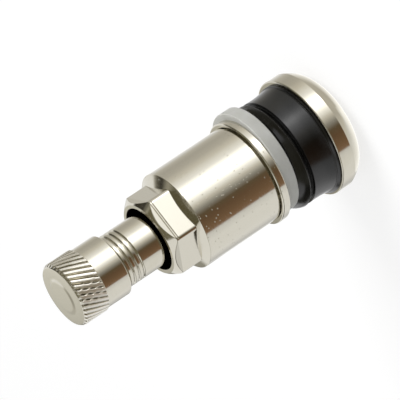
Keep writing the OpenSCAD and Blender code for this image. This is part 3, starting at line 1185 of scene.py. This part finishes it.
@dataclass(frozen=True)
class RingCard(Card):
    """Ring under the floor whose brightness changes with the direction from the axis.

    inner, outer, depth: its radii and how far it lies below the valve, in millimetres. levels: direction in
    degrees from the camera's side towards +X, colour and strength, in rising order. step: degrees between
    its columns.
    """

    inner: float
    outer: float
    levels: tuple[tuple[float, str, float], ...]
    depth: float = 200.0
    step: float = 0.25

    def build(self) -> None:
        """Makes the ring, each column coloured by the levels on both sides of its direction."""
        side = np.linspace(-180.0, 180.0, round(360.0 / self.step) + 1)
        at = [angle for angle, _, _ in self.levels]
        glow = np.array([linear(code, level) for _, code, level in self.levels])
        row = np.stack([np.interp(side, at, channel) for channel in glow.T], axis=-1)
        radii = np.array([[self.outer], [self.inner]])
        self.hang(swept(radii, -self.depth, np.radians(side) - 0.25 * TURN), np.stack([row, row]))


@dataclass(frozen=True)
class PatchCard(Card):
    """Patch of a sphere about the axis with soft edges, for shoulder, chamfers and end faces to reflect.

    around: directions in degrees from the camera's side towards +X. up: degrees above the horizon. codes:
    colours of its two sides at each level, from the lowest to the highest. reach, height: the sphere's
    radius and its centre along the axis in millimetres. soft: width of its soft edge in degrees.
    """

    around: Pair
    up: Pair
    codes: tuple[tuple[str, str], ...]
    reach: float = 260.0
    height: float = 27.0
    columns: int = 64
    rows: int = 40
    soft: float = 5.0

    def build(self) -> None:
        """Makes the patch, its colours mixed in straight lines between the levels and the two sides."""
        side, rise = np.meshgrid(np.linspace(*self.around, self.columns), np.linspace(*self.up, self.rows))
        levels = np.array([[linear(code) for code in pair] for pair in self.codes])
        last = len(self.codes) - 1
        t = (rise - self.up[0]) / (self.up[1] - self.up[0]) * last
        under = np.clip(np.floor(t).astype(int), 0, max(0, last - 1))
        mix = (t - under)[..., None, None]
        ends = levels[under] * (1.0 - mix) + levels[np.minimum(under + 1, last)] * mix
        s = ((side - self.around[0]) / (self.around[1] - self.around[0]))[..., None]
        colours = ends[..., 0, :] * (1.0 - s) + ends[..., 1, :] * s
        edges = [side - self.around[0], self.around[1] - side, rise - self.up[0], self.up[1] - rise]
        colours[..., 3] = smooth_step(0.0, self.soft, np.min(edges, axis=0))
        sphere = swept(np.cos(np.radians(rise)), np.sin(np.radians(rise)), np.radians(side) - 0.25 * TURN)
        self.hang(sphere * self.reach + (0.0, 0.0, self.height), colours)


@dataclass
class Studio:
    """White floor, soft lamps, cards that only the gloss sees, and the camera."""

    floor_half: float = 1500.0
    floor_drop: float = 0.02
    floor_albedo: float = 0.35
    floor_glow: float = 0.72
    world_light: float = 0.56
    # Camera: distance and aim in millimetres, angles in degrees, focal length in picture widths, and the
    # range that it sees in metres
    distance: float = 500.0
    aim: tuple[float, float, float] = (0.574, 0.0, 21.98)
    elevation: float = 22.16
    roll: float = -123.68
    focal: float = 9.42
    sight: Pair = (0.01, 10.0)
    # Radii of the three ring cards, and how bright the outer one is next to the middle one
    card_radii: tuple[float, ...] = (20.0, 300.0, 730.0, 2400.0)
    far_share: float = 0.8

    def floor(self) -> None:
        """Flat white floor that keeps a faint shadow."""
        made = bpy.data.materials.new("white_floor")
        nodes = Nodes.of(made)
        glow = nodes.add("Math", {0: nodes.seen(), 1: self.floor_glow}, operation="MULTIPLY")[0]
        matt = nodes.add("BsdfDiffuse", {"Color": (*[self.floor_albedo] * 3, 1.0)})[0]
        light = nodes.add("Emission", {"Color": WHITE, "Strength": glow})[0]
        both = nodes.add("AddShader", {0: matt, 1: light})[0]
        nodes.add("OutputMaterial", {"Surface": both})
        half, z = self.floor_half, -self.floor_drop
        corners = np.array([(-half, -half, z), (half, -half, z), (half, half, z), (-half, half, z)])
        floor = new_mesh("floor", corners, [[0, 1, 2, 3]], made)
        # The gloss looks through it to the ring cards
        floor.visible_glossy = False

    def under_cards(self) -> tuple[RingCard, ...]:
        """What the upright faces reflect: white, grey beside it and a brown sector with one sharp edge."""
        white, grey, olive = "#ffffff", "#f6f2e8", "#d0b48c"
        brown, rust = "#d9ae86", "#d0a684"
        main = ((-180, white, 1.3), (-150, white, 0.62), (-125, white, 0.97), (-80, white, 0.97),
                (-66, white, 0.86), (-61, white, 0.76), (-59.5, rust, 0.44), (-45, brown, 0.30),
                (-29, brown, 0.235), (-17, olive, 0.225), (-6, grey, 0.38), (5, grey, 0.82),
                (17, white, 1.35), (29, white, 2.3), (40, white, 4.1), (50, white, 1.9), (60, white, 1.2),
                (81, grey, 0.87), (97, grey, 0.66), (117, grey, 0.58), (134, grey, 0.68),
                (152, white, 0.86), (180, white, 1.3))
        near = ((-180, white, 1.4), (-120, white, 1.1), (-80, white, 0.86), (-40, grey, 0.80),
                (0, grey, 0.66), (40, grey, 0.76), (80, grey, 0.70), (110, grey, 0.68), (180, white, 1.4))
        far = tuple((angle, code, self.far_share * level) for angle, code, level in main)
        names, radii = ("near_card", "main_card", "far_card"), self.card_radii
        return tuple(RingCard(*card) for card in zip(names, radii, radii[1:], (near, main, far)))

    def upper_cards(self) -> tuple[PatchCard, ...]:
        """What the shoulder, the chamfers and the cap's end reflect: olive and dark patches of a room."""
        olive = ("#85806a",) * 2
        side = ("#d0ccc0", "#6c685e", "#33312b", "#b0ac9c", "#66624e", "#77725c")
        edge, pale, bright = ("#a8a69c", "#7c7a70"), ("#d8d6cc", "#98968c"), ("#fffef8", "#bcbab0")
        return (PatchCard("front_low_card", (-90.0, 128.0), (-8.0, 23.0), (("#7d7864",) * 2,)),
                PatchCard("front_right_card", (-90.0, 18.0), (17.0, 48.0), (olive,)),
                PatchCard("front_left_card", (44.0, 106.0), (17.0, 48.0), (olive,)),
                PatchCard("right_low_card", (-142.0, -84.0), (-14.0, 15.0), (("#4a473d",) * 2,)),
                PatchCard("top_card", (-52.0, 92.0), (43.0, 80.0), (("#77725c",) * 2,)),
                PatchCard("side_card", (84.0, 160.0), (26.0, 66.0), tuple(zip(side, side)), reach=255.0),
                PatchCard("side_low_card", (88.0, 140.0), (21.0, 40.0), (("#45423a", "#3c3a33"),),
                          reach=250.0),
                # The cap's end reflects this one, which stands close behind it
                PatchCard("back_card", (163.0, 209.0), (-46.0, 70.0), (edge, pale, bright, edge),
                          reach=50.0, height=45.75))

    def world(self) -> None:
        """Even soft light, seen as white."""
        world = bpy.data.worlds.new("white_room")
        nodes = Nodes.of(world)
        soft = nodes.add("Background", {"Color": WHITE, "Strength": self.world_light})[0]
        white = nodes.add("Background", {"Color": WHITE, "Strength": 1.0})[0]
        both = nodes.add("MixShader", {0: nodes.seen(), 1: soft, 2: white})[0]
        nodes.add("OutputWorld", {"Surface": both})
        bpy.context.scene.world = world

    def lamp(self, name: str, place: tuple[float, float, float], watts: float, size: float) -> None:
        """Square soft lamp that points at the valve's middle.

        Args:
            name: its name.
            place: where it stands, in millimetres.
            watts: its power.
            size: its side, in millimetres.
        """
        data = bpy.data.lights.new(name, "AREA")
        data.energy, data.size = watts, size * MM
        lamp = linked(name, data)
        stand(lamp, np.array(place), np.array(self.aim))
        lamp.visible_glossy = False

    def camera(self) -> None:
        """Camera at the photograph's viewing angle."""
        data = bpy.data.cameras.new("camera")
        data.lens = self.focal * data.sensor_width
        data.clip_start, data.clip_end = self.sight
        tilt, aim = math.radians(self.elevation), np.array(self.aim)
        back = np.array([0.0, -math.cos(tilt), math.sin(tilt)])
        camera = linked("camera", data)
        stand(camera, aim + back * self.distance, aim, math.radians(self.roll))
        bpy.context.scene.camera = camera

    def build(self) -> None:
        """Builds the whole studio."""
        bpy.context.scene.view_settings.view_transform = "Standard"
        self.camera()
        self.world()
        self.floor()
        for card in (*self.under_cards(), *self.upper_cards()):
            card.build()
        self.lamp("key_lamp", (400.0, -160.0, 330.0), watts=1.7, size=320.0)
        self.lamp("fill_lamp", (-300.0, -300.0, 160.0), watts=0.12, size=300.0)


def main() -> None:
    logging.basicConfig(level=logging.INFO, format="%(name)s %(message)s")
    Studio().build()
    rubber = MouldedRubber().material()
    brass = TurnedMetal("turned_brass", "#d0ae5c", "#b8954a").material()
    steel = TurnedMetal("spring_steel_wire", "#a7aaae", "#8c9094", roughness=(0.22, 0.36)).material()
    ValveStem(NickelPlate().material()).dress()
    SealingGrommet(rubber).dress()
    RimWasher(NaturalNylon().material()).dress()
    SleeveNut(BoredNickel().material()).dress()
    DustCap(KnurledNickel().material()).dress()
    ValveCore().dress(brass, rubber, steel)
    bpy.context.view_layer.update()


if __name__ == "__main__":
    main()
